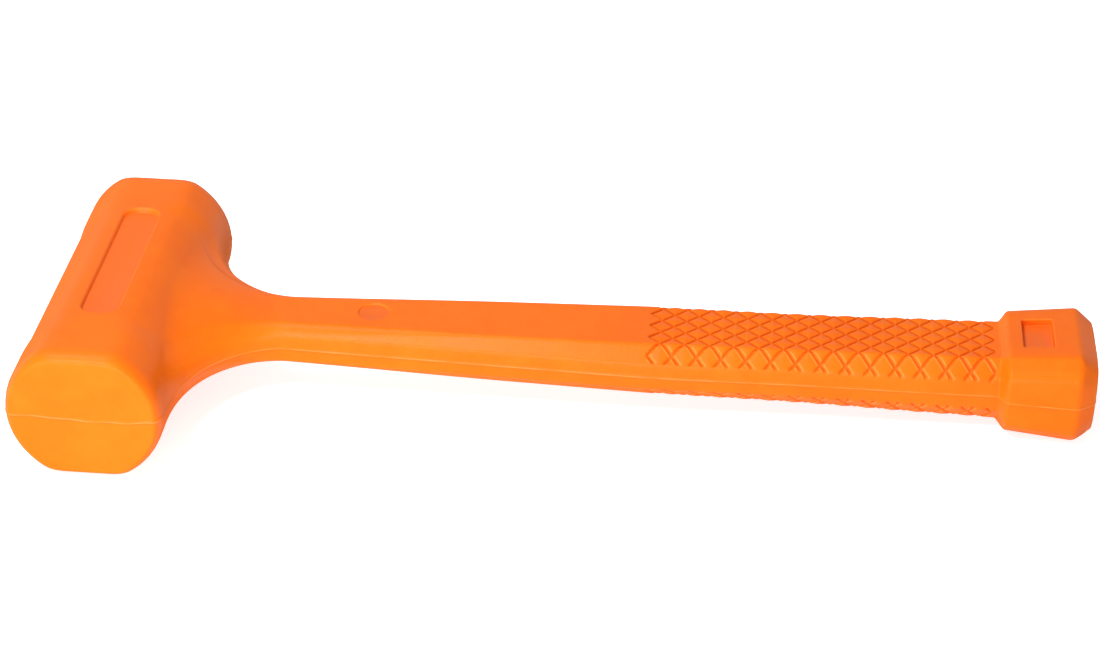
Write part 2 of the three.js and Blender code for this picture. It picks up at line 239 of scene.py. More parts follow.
# %% [markdown]
# ## Columns of the skin
# One set of columns runs the whole length of the casting, from the collar over the grip and the neck and
# out over the head, so there is no seam to close. The columns are laid out for the grip, where they run
# straight along the handle with a whole number of them between two rows of crossings. Below those, a few
# follow the foot of the grooves, and the last ones crowd towards the thin ridge on the parting line.

# %% Columns
ROW_WIDTH = 3.15
ROW_STEPS = 13
STRAIGHT_COLUMNS = 56
FOOT_COLUMNS = 8
PLAIN_COLUMNS = 10
PLAIN_CROWDING = 1.9

straight_y = ROW_WIDTH / ROW_STEPS * np.arange(STRAIGHT_COLUMNS + 1)
foot_share = np.arange(1, FOOT_COLUMNS + 1) / FOOT_COLUMNS
plain_share = 1 - (1 - np.arange(1, PLAIN_COLUMNS + 1) / PLAIN_COLUMNS) ** PLAIN_CROWDING
HALF_COLUMNS = STRAIGHT_COLUMNS + FOOT_COLUMNS + PLAIN_COLUMNS
COLUMNS = 2 * HALF_COLUMNS
column_sides = np.where(np.arange(COLUMNS + 1) <= HALF_COLUMNS, 1, -1)


def handle_grid(x):
    """Points and outward normals of the handle's upper side, for every x in a column of values: y at set
    places, z the section's height there, and the normal (0, -dz/dy, 1) at length 1."""
    width = handle_sizes(x)[2]
    foot_y = shoulder_foot(x)[0]
    straight = np.minimum(1, width / handle_sizes(GRIP_START)[2]) * straight_y
    foot = straight[:, -1:] + (foot_y - straight[:, -1:]) * foot_share
    y = np.hstack((straight, foot, foot_y + (width - foot_y) * plain_share))
    z = section_height(x, y)
    fall = -np.gradient(z, axis=1) / np.gradient(y, axis=1)
    normal = np.stack((0 * y, fall, 1 + 0 * y), -1) / np.sqrt(1 + fall**2)[..., None]
    point = np.stack((x + 0 * y, y, z), -1)
    mirrored = [np.concatenate((grid[:, ::-1], grid[:, 1:]), axis=1) for grid in (point, normal)]
    for grid in mirrored:
        grid[..., 1] *= column_sides
    return mirrored


print(f"{COLUMNS} columns from one parting line over the top to the other")

# %% [markdown]
# ## Cross-cut grip
# The mould for the grip was cut with two sets of straight grooves that cross at a shallow angle and leave
# low diamonds, each a little domed. They end on a zigzag of crossings at both ends of the grip, and in
# short blunt walls at the sides. A bump map would look right from above only: the grooves notch the
# outline of the handle, so they are cut into the surface.

# %% Cross-cut grip
GROOVE_DEPTH = 0.52
GROOVE_FLOOR = 0.1
GROOVE_EDGE = 0.45
PILLOW = 0.4
SIDE_SHARE = 0.5
CROSSING_SHARE = 0.7
TOP_ROWS = 3.5
# Where a painted glint lies across the first set of grooves, and how wide it is
GLINT_PLACE = 0.62
GLINT_WIDTH = 0.17
CROSSING_REACH = (0.1, 0.3)
SHOULDER_SLOPE = (0.2, 0.5)
END_WALL = 0.25
GROOVE_END_LEVEL = 4.4
PLAIN_ROWS = 44
PLAIN_END = GRIP_START - HALF_PITCH / 3
MARGIN_ROWS = 3
ROW_LENGTH = HALF_PITCH / ROW_STEPS


def grip_steps(x, y):
    """p = x in half pitches from the start of the grip, and q = y in rows from the middle."""
    return (x - GRIP_START) / HALF_PITCH, np.abs(y) / ROW_WIDTH


def groove_lines(p, q):
    """Distance in half pitches to the nearest groove of each set: they lie where p - q or p + q is even."""
    return np.abs((p - q + 1) % 2 - 1), np.abs((p + q + 1) % 2 - 1)


def groove_share(x, y, z):
    """Three shares: the groove, which is 1 in a groove, less where two cross on top, and 0 beside them; a
    diamond's dip below its crown, (1 - d)^2, where d is 0 at a groove and 1 in the middle; and a band along
    the edges of the first set of grooves, for a painted glint. Diamonds whose middle lies on an end of the
    grip have no dip."""
    p, q = grip_steps(x, y)
    lines = groove_lines(p, q)
    near = np.minimum(*lines)
    across = HALF_PITCH * ROW_WIDTH / np.hypot(HALF_PITCH, ROW_WIDTH)
    away = near * across
    along = ease(-END_WALL, END_WALL, x - GRIP_START) * ease(-END_WALL, END_WALL, GRIP_END - x)
    inside = along * ease(GROOVE_END_LEVEL - END_WALL, GROOVE_END_LEVEL + END_WALL, z)
    middle = np.floor((p - q) / 2) + np.floor((p + q) / 2) + 1
    whole = (middle > 0) & (middle < PITCH_STEPS)
    crossing = CROSSING_SHARE * (q < TOP_ROWS) * (1 - ease(*CROSSING_REACH, np.maximum(*lines)))
    groove = inside * (1 - crossing) * (1 - ease(GROOVE_FLOOR, GROOVE_EDGE, away))
    edge_glint = inside * np.exp(-(((lines[0] * across - GLINT_PLACE) / GLINT_WIDTH) ** 2)) * (1 - groove)
    return groove, inside * whole * (1 - near) ** 2, edge_glint


def grip_surface():
    """The handle's skin, sunk along its normal in the grooves and towards the edges of the diamonds. The
    shoulders get flatter diamonds, a painted glint on the groove edges and less painted shade in the
    grooves."""
    before = np.linspace(NECK_END, PLAIN_END, PLAIN_ROWS)
    steps = np.arange(-MARGIN_ROWS, PITCH_STEPS * ROW_STEPS + MARGIN_ROWS + 1)
    points, normals = handle_grid(np.concatenate((before, GRIP_START + ROW_LENGTH * steps))[:, None])
    groove, dip, edge_glint = groove_share(*np.moveaxis(points, -1, 0))
    shoulder = ease(*SHOULDER_SLOPE, 1 - normals[..., 2] ** 2)
    plainer = 1 - SIDE_SHARE * shoulder
    sink = GROOVE_DEPTH * groove + PILLOW * dip * plainer
    # The groove share also paints shade into the grooves, and the band along the groove edges paints a glint
    return points - normals * sink[..., None], {"groove": groove * plainer, "edge_glint": edge_glint * shoulder}


grip_points, grip_tones = grip_surface()
print("grip grid:", grip_points.shape)

# %% [markdown]
# ## Collar
# The handle ends in an eight-sided block that keeps the hand from sliding off. Its section is the nearest
# of three planes in each direction, softened where they meet, and a short ramp lifts the handle's skin to
# it. The far end slopes in, loses its corners and closes on a low dome.

# %% Collar
TOP_CORNER = 1.0
SIDE_CORNER = 2.4
END_CORNER = 4.5
RAMP_EASE = 0.3
SLOPE_EASE = 0.7
END_SLOPE_INSET = 4
END_EDGE = HANDLE_END - 0.75
END_CROWN = 1.15
COLLAR_SIZES = {"top": (12.5, 13.45), "height": (12.4, 14.2), "width": (17.7, 18.9), "side": (8.5, 9.8)}
CORNER_CROWDING = 0.35
CROWD_REACH = 0.14
BODY_START = COLLAR_FRONT + 1.4
BODY_END = COLLAR_BACK - 1.6
ROUNDING_START = COLLAR_BACK - 1
RAMP_ROWS = 22
BODY_ROWS = 10
SLOPE_ROWS = 20
END_RINGS = 14


def collar_radius(angle, x, inset):
    """Distance from the axis to the nearest of the collar's side, its top and the facet between them."""
    share = (x - COLLAR_FRONT) / (COLLAR_BACK - COLLAR_FRONT)
    top, height, width, side = (near + (far - near) * share for near, far in COLLAR_SIZES.values())
    sine = np.abs(np.sin(angle))
    cosine = np.abs(np.cos(angle))
    slant = np.hypot(height - side, width - top)
    facet = ((height - side) * width + (width - top) * side) / slant - inset
    facet_radius = facet * slant / ((height - side) * cosine + (width - top) * sine)
    top_radius = (height - inset) / np.maximum(sine, 1e-6)
    side_radius = (width - inset) / np.maximum(cosine, 1e-6)
    rounder = ease(ROUNDING_START, END_EDGE, x)
    upper = soft_min(top_radius, facet_radius, TOP_CORNER + (END_CORNER - TOP_CORNER) * rounder)
    return soft_min(upper, side_radius, SIDE_CORNER + (END_CORNER - SIDE_CORNER) * rounder)


def crowd(angle, corner):
    """Angles within reach of a corner move towards it: u becomes u (k + (1 - k) u^2)."""
    u = np.clip((angle - corner) / CROWD_REACH, -1, 1)
    near = corner + CROWD_REACH * u * (CORNER_CROWDING + (1 - CORNER_CROWDING) * u * u)
    return np.where(np.abs(u) < 1, near, angle)


def collar_surface():
    """The last handle section, carried out to the collar and along it to a pole in the middle of its end."""
    ramp = np.linspace(GRIP_END + ROW_LENGTH * (MARGIN_ROWS + 1), BODY_START, RAMP_ROWS)
    body = np.linspace(BODY_START, BODY_END, BODY_ROWS)[1:]
    slope = np.linspace(BODY_END, END_EDGE, SLOPE_ROWS)[1:]
    x = np.concatenate((ramp, body, slope))[:, None]
    handle = handle_grid(np.minimum(x, COLLAR_FOOT))[0]
    angle = np.arctan2(handle[..., 2], np.abs(handle[..., 1]))
    top, height, width, side = (sizes[0] for sizes in COLLAR_SIZES.values())
    for corner in (np.arctan2(side, width), np.arctan2(height, top)):
        angle = crowd(angle, corner)
    drop = END_SLOPE_INSET / (HANDLE_END - COLLAR_BACK)
    inset = soft_max(0, drop * (x - COLLAR_BACK), SLOPE_EASE)
    radius = collar_radius(angle, x, inset)
    collar = np.stack((x + 0 * radius, column_sides * radius * np.cos(angle), radius * np.sin(angle)), -1)
    rise = (x - COLLAR_FOOT) / (COLLAR_FRONT - COLLAR_FOOT)
    grown = soft_max(0, soft_min(rise, 1, RAMP_EASE), RAMP_EASE / 2)[..., None]
    sides = handle * (1 - grown) + collar * grown
    sides[..., 0] = x
    scale = np.cos(np.linspace(0, np.pi / 2, END_RINGS)[1:, None, None])
    end = sides[-1] * scale
    end[..., 0] = END_EDGE + END_CROWN * np.sqrt(1 - scale[..., 0] ** 2)
    return np.concatenate((sides, end))


collar_points = collar_surface()
print("collar grid:", collar_points.shape)

# %% [markdown]
# ## Neck
# The neck is the part of the casting that carries the blow, so it flares a long way along the head and
# leaves no corner where it could tear. Each column of the handle becomes one smooth curve from the handle
# to an oval drawn on the side of the head. It leaves the head along the head's own surface, so that no
# line shows there. The head is a little thicker towards its faces, because a casting shrinks most in its
# middle.

# %% Neck
NECK_ROWS = 40
FLARE = 0.5
FLARE_START = 29
FLARE_END = 38
FOOT_STEP = 0.5
SWELL_STEP = 0.01


def head_radius(y):
    """The head's radius, which grows by the flare between its two places towards each face."""
    return HEAD_RADIUS + FLARE * ease(FLARE_START, FLARE_END, np.abs(y))


neck_foot = handle_grid(np.array(((NECK_END,), (NECK_END + FOOT_STEP,))))[0]
foot_points = neck_foot[0]
foot_slope = (neck_foot[1] - neck_foot[0]) / FOOT_STEP
foot_sizes = handle_sizes(NECK_END)
oval_angle = np.arctan2(foot_points[:, 2] / foot_sizes[1], foot_points[:, 1] / foot_sizes[2])
oval_y = OVAL_HALF_LENGTH * np.cos(oval_angle)
oval_z = OVAL_HALF_HEIGHT * np.sin(oval_angle)
oval_radius = head_radius(oval_y)
oval_x = np.sqrt(oval_radius**2 - oval_z**2)


def neck_surface():
    """Cubic Hermite curves: (2t^3-3t^2+1) P0 + (t^3-2t^2+t) T0 + (3t^2-2t^3) P1 + (t^3-t^2) T1."""
    t = np.linspace(0, 1, NECK_ROWS + 1)[:, None, None]
    start = np.stack((oval_x, oval_y, oval_z), -1)
    growth = (head_radius(oval_y + SWELL_STEP) - head_radius(oval_y - SWELL_STEP)) / (2 * SWELL_STEP)
    swell = growth * oval_radius / oval_x
    along = -SIDE_PULL * oval_y
    leave = np.stack((TOP_PULL * oval_z**2 / oval_x + swell * along, along, -TOP_PULL * oval_z), -1)
    arrive = HANDLE_PULL * foot_slope
    hold = (2 * t**3 - 3 * t**2 + 1) * start + (3 * t**2 - 2 * t**3) * foot_points
    return hold + (t**3 - 2 * t**2 + t) * leave + (t**3 - t**2) * arrive


neck_points = neck_surface()
print("neck grid:", neck_points.shape)

# %% [markdown]
# ## Head
# The head is a cylinder with a flat above and below, so that the hammer doesn't roll. A band of the skin
# leads from the neck's oval to straight borders, and from there the rest of the head is a plain grid over
# angle and length, with its lines along the edges of the flats. Around each striking face runs a rounded
# rim.

# %% Head
BAND_ROWS = 8
SIDE_ANGLE = 0.66
RIM_ROWS = 12
ANGLE_KNOTS = np.radians((52, 57, 81, 99, 123, 174, 178.6, 180))
ANGLE_STEPS = (4, 18, 6, 18, 17, 4, 3)
BAND_TOP = ANGLE_KNOTS[0]
FACE_RINGS = 26


def head_outline(angle, y, inset):
    """x and z at the softened lesser of two radii: R - inset and, for the flat, (h - inset) / sin(angle)."""
    level = (FLAT_HEIGHT - inset) / np.maximum(np.abs(np.sin(angle)), 1e-6)
    radius = soft_min(head_radius(y) - inset, level, FLAT_EDGE)
    return radius * np.cos(angle), radius * np.sin(angle)


side_count = int(np.searchsorted(oval_angle, SIDE_ANGLE))
corner_angle = oval_angle[side_count]
side_rise = np.sin(oval_angle[: side_count + 1]) / np.sin(corner_angle)
side_inner = np.arcsin(oval_z[: side_count + 1] / oval_radius[: side_count + 1])
side_angles = side_inner * (1 + (BAND_TOP / side_inner[-1] - 1) * side_rise**2)
top_y = RIM_START * np.cos(oval_angle[side_count : COLUMNS - side_count + 1]) / np.cos(corner_angle)
angle_steps = np.append(0, np.cumsum(ANGLE_STEPS))
over_angles = np.interp(np.arange(angle_steps[-1] + 1), angle_steps, ANGLE_KNOTS)
rim_angles = np.append(side_angles, over_angles[1:])


def band_surface():
    """From the oval to the borders at the rims and above the neck, straight on the unrolled cylinder."""
    t = np.linspace(0, 1, BAND_ROWS + 1)[:, None]
    border_angle = np.concatenate((side_angles, BAND_TOP + 0 * top_y[1:-1], side_angles[::-1]))
    border_y = np.concatenate((RIM_START + 0 * side_angles, top_y[1:-1], -RIM_START + 0 * side_angles))
    angle = np.arcsin(oval_z / oval_radius) * (1 - t) + border_angle * t
    y = oval_y * (1 - t) + border_y * t
    return np.stack((head_radius(y) * np.cos(angle), y, head_radius(y) * np.sin(angle)), -1)


def over_surface():
    """The rest of the head between the rims, from above the neck over the top to the far parting line."""
    y = np.broadcast_to(top_y, (len(over_angles), len(top_y)))
    x, z = head_outline(over_angles[:, None], y, 0)
    return np.stack((x, y, z), -1)


def rim_and_face(end):
    """A quarter ellipse carried round the outline, closed by rings that shrink to the middle of the face."""
    turn = np.linspace(0, np.pi / 2, RIM_ROWS + 1)[:, None]
    x, z = head_outline(rim_angles, HEAD_HALF, RIM_DEPTH * (1 - np.cos(turn)))
    y = end * (RIM_START + RIM_LENGTH * np.sin(turn)) + 0 * x
    rim = np.stack((x, y, z), -1)
    scale = np.linspace(1, 0, FACE_RINGS + 1)[1:, None, None]
    face = rim[-1] * scale
    face[..., 1] = end * HEAD_HALF
    return np.concatenate((rim, face))


head_grids = [band_surface(), over_surface(), rim_and_face(1), rim_and_face(-1)]
print("head grids:", [grid.shape for grid in head_grids])

# %% [markdown]
# ## Parting line
# Where the two halves of the mould met, a little polyurethane crept into the joint and was trimmed off.
# That leaves a thin raised line, which wanders a little and sags across the striking faces. It is lower
# along the handle, and ragged where the neck meets the front face. It is raised from the finished skin, as
# a narrow bell along the parting plane. The bell is stored as an attribute too, for a painted highlight
# along the ridge, and so is a second one just below it, for a painted shade under the ridge.

# %% Parting line
FLASH_HEIGHT = 0.2
FLASH_WIDTH = 0.26
# Place and width of the bell for the painted shade just below the ridge
FLASH_SHADE_DROP = 0.44
FLASH_SHADE_WIDTH = 0.24
WANDER_REACH = 5
SLOW_WAVE = 0.12
QUICK_WAVE = 0.08
WAVES_FADE = (60, 30)
FACE_SAG = 0.75
FACE_RIPPLE = 0.12
SAG_FAR_EASE = (-16, 4)
SAG_NECK_EASE = (21, 11)
UNEVENNESS = 0.25
HANDLE_LOSS = 0.4
RAGGED_PLACE = (19, -47)
RAGGED_REACH = (4, 6)
RAGGED_STRENGTH = 1.6


def wander(x, y):
    """How far the line strays from the parting plane: slow waves on the head, and a sag across each face."""
    waves = SLOW_WAVE * np.sin(x / 7 + y / 11) + QUICK_WAVE * np.sin(x / 3.1 - y / 4 + 1)
    near_face = ease(RIM_START, HEAD_HALF, np.abs(y))
    sag = -FACE_SAG * ease(*SAG_FAR_EASE, x) * ease(*SAG_NECK_EASE, x) - FACE_RIPPLE * np.sin(x / 1.7)
    return waves * ease(*WAVES_FADE, x) * (1 - near_face) + sag * near_face


def raise_flash(points, normals):
    """Moves the skin out by a bell exp(-(z / width)^2) of uneven strength, and lets the line stray."""
    x, y, z = points.T
    ripple = np.sin(x / 5 + 2 * np.sin(y / 9)) * np.sin(x / 2.3 - y / 6)
    uneven = 1 - UNEVENNESS + UNEVENNESS * ripple
    ragged_x = (x - RAGGED_PLACE[0]) / RAGGED_REACH[0]
    ragged_y = (y - RAGGED_PLACE[1]) / RAGGED_REACH[1]
    ragged = (RAGGED_STRENGTH + np.sin(5 * x + 3 * y)) * np.exp(-(ragged_x**2 + ragged_y**2))
    strength = 1 - HANDLE_LOSS * ease(HEAD_RADIUS, NECK_END, x) + ragged
    # The flash bell also feeds a painted highlight along the ridge
    flash = np.exp(-((z / FLASH_WIDTH) ** 2)) * uneven
    # A bell just below the ridge, for painted shade under it
    flash_shade = np.exp(-(((z + FLASH_SHADE_DROP) / FLASH_SHADE_WIDTH) ** 2)) * uneven
    level = normals[:, :2] / np.maximum(np.linalg.norm(normals[:, :2], axis=1, keepdims=True), 1e-6)
    moved = points.copy()
    moved[:, :2] += FLASH_HEIGHT * (strength * flash)[:, None] * level
    moved[:, 2] += wander(x, y) * np.exp(-((z / WANDER_REACH) ** 2))
    return moved, {"flash": flash, "flash_shade": flash_shade}


print(f"the parting line strays by {wander(0, HEAD_HALF):.2f} mm in the middle of a face")

# %% [markdown]
# ## From grids to one closed half
# Every grid becomes quads, the grids are welded along their shared borders, and the open border on the
# parting plane is closed with one flat face. The lower half is the same skin mirrored, with its faces
# turned outwards again.

# %% Mesh of one half
WELD_DISTANCE = 0.002
SHORTEST_EDGE = 1e-5


def grid_faces(rows, columns, offset):
    """Quads of a rows x columns grid of points, as corner numbers starting at offset."""
    corner = offset + np.arange((rows - 1) * columns).reshape(rows - 1, columns)[:, :-1]
    return np.stack((corner, corner + 1, corner + columns + 1, corner + columns), -1).reshape(-1, 4)


def grip_triangles(quads, points):
    """Each quad of the grip split along the groove nearer to its middle, so that walls stay straight."""
    middle = points[quads].mean(axis=1)
    rising, falling = groove_lines(*grip_steps(middle[:, 0], middle[:, 1]))
    a, b, c, d = quads.T
    climbs = (rising < falling) == (middle[:, 1] > 0)
    first = np.where(climbs, (a, b, d), (a, b, c)).T
    second = np.where(climbs, (b, c, d), (a, c, d)).T
    return np.concatenate((first, second))


def store_shares(mesh, domain, shares):
    """Stores each named array as a float attribute of the mesh's points or faces."""
    for name, share in shares.items():
        layer = mesh.attributes.new(name, "FLOAT", domain)
        layer.data.foreach_set("value", share)


def skin_mesh(grids, tones):
    """One mesh of all the grids, the grip first, with a float attribute for each of the grip's tones."""
    counts = np.cumsum([0] + [grid.shape[0] * grid.shape[1] for grid in grids])
    points = np.concatenate([grid.reshape(-1, 3) for grid in grids])
    quads = [grid_faces(*grid.shape[:2], offset) for grid, offset in zip(grids, counts)]
    faces = grip_triangles(quads[0], points).tolist() + np.concatenate(quads[1:]).tolist()
    mesh = bpy.data.meshes.new("skin")
    mesh.from_pydata(points, [], faces)
    beyond_grip = np.zeros(counts[-1] - counts[1])
    store_shares(mesh, "POINT", {name: np.append(tone, beyond_grip) for name, tone in tones.items()})
    return mesh


@contextmanager
def edited(mesh):
    """A mesh's points, edges and faces for editing, written back at the end."""
    work = bmesh.new()
    work.from_mesh(mesh)
    yield work
    work.to_mesh(mesh)
    work.free()


def tidy_mesh(mesh, side):
    """Merges doubles, mirrors the lower half and turns the faces outwards."""
    with edited(mesh) as work:
        bmesh.ops.remove_doubles(work, verts=work.verts, dist=WELD_DISTANCE)
        bmesh.ops.dissolve_degenerate(work, edges=work.edges, dist=SHORTEST_EDGE)
        bmesh.ops.scale(work, vec=(1, 1, side), verts=work.verts)
        bmesh.ops.recalc_face_normals(work, faces=work.faces)


def skin_arrays(mesh):
    """Positions and normals of a mesh's points as two arrays."""
    points = np.empty(3 * len(mesh.vertices))
    mesh.vertices.foreach_get("co", points)
    normals = np.empty(3 * len(mesh.vertices))
    mesh.vertex_normals.foreach_get("vector", normals)
    return points.reshape(-1, 3), normals.reshape(-1, 3)


def close_parting(mesh):
    """Closes the open border on the parting plane with one face, in material slot 1."""
    with edited(mesh) as work:
        border = [edge for edge in work.edges if edge.is_boundary]
        lid = bmesh.ops.holes_fill(work, edges=border, sides=0)["faces"]
        for face in lid:
            face.material_index = 1
        bmesh.ops.recalc_face_normals(work, faces=work.faces)
    return len(border), len(lid)


def casting_half(name, side):
    """One closed half of the casting: skin, flash and parting face, in metres in the frame's place."""
    grids = [grip_points, np.concatenate((grip_points[-1:], collar_points)), neck_points, *head_grids]
    mesh = skin_mesh(grids, grip_tones)
    tidy_mesh(mesh, side)
    points, normals = skin_arrays(mesh)
    moved, lines = raise_flash(points, normals)
    mesh.vertices.foreach_set("co", ((moved + (0, 0, FLAT_HEIGHT)) * MM).ravel())
    store_shares(mesh, "POINT", lines)
    border, lids = close_parting(mesh)
    mesh.shade_smooth()
    print(f"{name}: {len(mesh.polygons)} faces, {border} border edges closed by {lids} lid")
    return add_object(name, mesh)


upper_half = casting_half("upper_casting", 1)
lower_half = casting_half("lower_casting", -1)

# %% [markdown]
# ## Recesses and the hollow
# The mould has a raised plate in the head's upper flat, which leaves a long shallow recess, an ejector pin
# that left a round mark on the handle, and a block that left a square-cornered pocket in the collar.
# Inside, the steel leaves its own hollow. Each is one closed cutter: a profile of offset and height
# carried round an outline, with small rounds at its floor and its rim. A Boolean takes them out of the
# halves.

# %% Cutters
OUTLINE_STEPS = 96
ROUND_STEPS = 7
FOOT_ROUND = 0.3
WALL_SLOPE = 0.12
RIM_OVERSHOOT = 0.04
CUTTER_FLARE = 1.1
CUTTER_TOP = 2


def closed_rings(name, rings):
    """A closed mesh through rings of equal count, with a flat face over each end, in material slot 1."""
    rows, count, _ = rings.shape
    corner = np.arange((rows - 1) * count).reshape(rows - 1, count)
    after = np.roll(corner, -1, axis=1)
    quads = np.stack((corner, after, after + count, corner + count), -1).reshape(-1, 4)
    lids = [list(range(count)), list(range((rows - 1) * count, rows * count))]
    mesh = bpy.data.meshes.new(name)
    mesh.from_pydata((rings.reshape(-1, 3) + (0, 0, FLAT_HEIGHT)) * MM, [], quads.tolist() + lids)
    mesh.polygons.foreach_set("material_index", np.ones(len(mesh.polygons), dtype=np.int32))
    with edited(mesh) as work:
        bmesh.ops.recalc_face_normals(work, faces=work.faces)
    mesh.shade_smooth()
    return add_object(name, mesh)


def recess_rings(half_x, half_y, corner, depth, rim):
    """Outline: centres of the corners plus radius (corner + offset) at each angle. The profile runs from the
    floor, up a slightly sloped wall with a round at its foot and at its rim, to above the surface."""
    angle = (np.arange(OUTLINE_STEPS) + 0.5) * 2 * np.pi / OUTLINE_STEPS
    turn = np.linspace(0, np.pi / 2, ROUND_STEPS)
    foot_offset = FOOT_ROUND * np.sin(turn) - FOOT_ROUND
    foot_height = FOOT_ROUND * (1 - np.cos(turn)) - depth
    rim_offset = WALL_SLOPE + rim * (1 - np.cos(turn))
    rim_height = rim * (np.sin(turn) - 1 + RIM_OVERSHOOT)
    offset = np.concatenate((foot_offset, rim_offset, [CUTTER_FLARE + rim]))
    height = np.concatenate((foot_height, rim_height, [CUTTER_TOP]))
    radius = corner + offset[:, None]
    x = (half_x - corner) * np.sign(np.cos(angle)) + radius * np.cos(angle)
    y = (half_y - corner) * np.sign(np.sin(angle)) + radius * np.sin(angle)
    return np.stack((x, y, height[:, None] + 0 * x), -1)


def round_bar(radius, start, end):
    """Two circles of that radius, square to the way from start to end."""
    angle = np.arange(OUTLINE_STEPS) * 2 * np.pi / OUTLINE_STEPS
    way = np.subtract(end, start) / np.linalg.norm(np.subtract(end, start))
    side = np.cross(way, (0, 0, 1))
    circle = radius * (np.cos(angle)[:, None] * side + np.sin(angle)[:, None] * (0, 0, 1))
    return np.stack((circle + start, circle + end))


# %% Cut the halves
LABEL_PLACE = (0.2, 1.5)
LABEL_HALF = (5.2, 29.5)
LABEL_CORNER = 4.2
LABEL_DEPTH = 1.4
LABEL_RIM = 1.1
PIN_PLACE = (74.7, 0.9)
PIN_RADIUS = 4.5
PIN_DEPTH = 0.5
PIN_RIM = 0.2
POCKET_HALF = (4.25, 7.2)
POCKET_CORNER = 0.6
POCKET_DEPTH = 2.1
POCKET_RIM = 0.35
POCKET_BEHIND_EDGE = 8.35
CLEARANCE = 0.3

label = recess_rings(*LABEL_HALF, LABEL_CORNER, LABEL_DEPTH, LABEL_RIM) + (*LABEL_PLACE, FLAT_HEIGHT)
pin = recess_rings(PIN_RADIUS, PIN_RADIUS, PIN_RADIUS, PIN_DEPTH, PIN_RIM)
pin += (*PIN_PLACE, handle_sizes(PIN_PLACE[0])[1])
pocket = recess_rings(*POCKET_HALF, POCKET_CORNER, POCKET_DEPTH, POCKET_RIM)
collar_front_height, collar_back_height = COLLAR_SIZES["height"]
collar_rise = (collar_back_height - collar_front_height) / (COLLAR_BACK - COLLAR_FRONT)
pocket[..., 2] += collar_rise * pocket[..., 0] + collar_front_height + collar_rise * POCKET_BEHIND_EDGE
pocket[..., 0] += COLLAR_FRONT + POCKET_BEHIND_EDGE

canister_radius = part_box("canister_tube")[1].x / MM + CLEARANCE
canister_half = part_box("rear_cap")[1].y / MM + CLEARANCE
rod_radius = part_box("core_rod")[1].y / MM + CLEARANCE
rod_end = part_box("core_rod")[1].x / MM + CLEARANCE
canister = round_bar(canister_radius, (0, -canister_half, 0), (0, canister_half, 0))
rod = round_bar(rod_radius, (0, 0, 0), (rod_end, 0, 0))


def cut(piece, cutters):
    """Takes the cutters out of the piece, keeps the result as its mesh and gives its number of faces."""
    for cutter in cutters:
        boolean = piece.modifiers.new(cutter.name, "BOOLEAN")
        boolean.operation = "DIFFERENCE"
        boolean.solver = "MANIFOLD"
        boolean.object = cutter
    graph = bpy.context.evaluated_depsgraph_get()
    result = bpy.data.meshes.new_from_object(piece.evaluated_get(graph))
    piece.modifiers.clear()
    piece.data = result
    return len(result.polygons)


for piece, marks in ((upper_half, {"label": label, "pin": pin, "pocket": pocket}), (lower_half, {})):
    shapes = {"canister": canister, "rod": rod, **marks}
    for empty_slot in (None, None):
        piece.data.materials.append(empty_slot)
    cutters = [closed_rings(name + "_cutter", rings) for name, rings in shapes.items()]
    faces = cut(piece, cutters)
    for cutter in cutters:
        bpy.data.objects.remove(cutter)
    print(f"{piece.name}: {faces} faces after {len(shapes)} cuts")

# %% [markdown]
# ## Sharp where it was cut
# Smooth shading runs over an edge unless the edge is marked. The cutters and the parting face carry slot
# number 1, so an edge between a face of slot 0 and one of slot 1 is a true edge of the casting. The same
# numbers give the finish three attributes: one for the floors of the recesses, one for painted shade on
# their walls and one for a painted highlight on their rounded rims. After that they have done their work,
# and each half keeps a single slot.


# %% Mark the cut edges
def mark_cut_edges(mesh):
    """Marks edges whose two faces have different slot numbers as sharp, and then clears the numbers."""
    with edited(mesh) as work:
        cut_edges = [e for e in work.edges if len({face.material_index for face in e.link_faces}) > 1]
        for edge in cut_edges:
            edge.smooth = False
        for face in work.faces:
            face.material_index = 0
    mesh.materials.clear()
    return len(cut_edges)


def mark_cut_faces(mesh):
    """Stores three shares of each cut face from its upright share u = |nz|: u for the floors of the
    recesses,
    1 - u for painted shade on their walls and 4u(1 - u), which is greatest on the rounds between them, for a
    painted highlight on their rims."""
    slots = np.empty(len(mesh.polygons), dtype=np.int32)
    mesh.polygons.foreach_get("material_index", slots)
    normals = np.empty(3 * len(mesh.polygons))
    mesh.polygons.foreach_get("normal", normals)
    upright = np.abs(normals[2::3])
    shares = {"recess_floor": upright, "recess_wall_shade": 1 - upright, "recess_rim_highlight": 4 * upright * (1 - upright)}
    store_shares(mesh, "FACE", {name: slots * share for name, share in shares.items()})


for piece in (upper_half, lower_half):
    mark_cut_faces(piece.data)
    print(f"{piece.name}: {mark_cut_edges(piece.data)} sharp edges")

# %% [markdown]
# ## Seating the skin on the frame
# Each half stands for one CAD node and rides on the hammer's body.

# %% Seat the halves
for piece, node in ((upper_half, "upper_moulding"), (lower_half, "lower_moulding")):
    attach(piece, "hammer_body")
    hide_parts(node)
    print(f"{piece.name} stands for {node}")

# %% [markdown]
# ## Shared surface effects
# A slow drift of tone, a fine grain and streaks along one direction are each built once, as a node group,
# and placed in a material with its own values. A group gives out masks and heights only. The shader stays
# in each material, so that its constant values sit on its own sockets.


# %% Node helpers
def new_group(name, inputs, outputs):
    """An empty shader group with float inputs (name, default) and float outputs, and its two end nodes."""
    group = bpy.data.node_groups.new(name, "ShaderNodeTree")
    for socket_name, default in inputs:
        socket = group.interface.new_socket(socket_name, in_out="INPUT", socket_type="NodeSocketFloat")
        socket.default_value = default
    for socket_name in outputs:
        group.interface.new_socket(socket_name, in_out="OUTPUT", socket_type="NodeSocketFloat")
    return group, group.nodes.new("NodeGroupInput"), group.nodes.new("NodeGroupOutput")


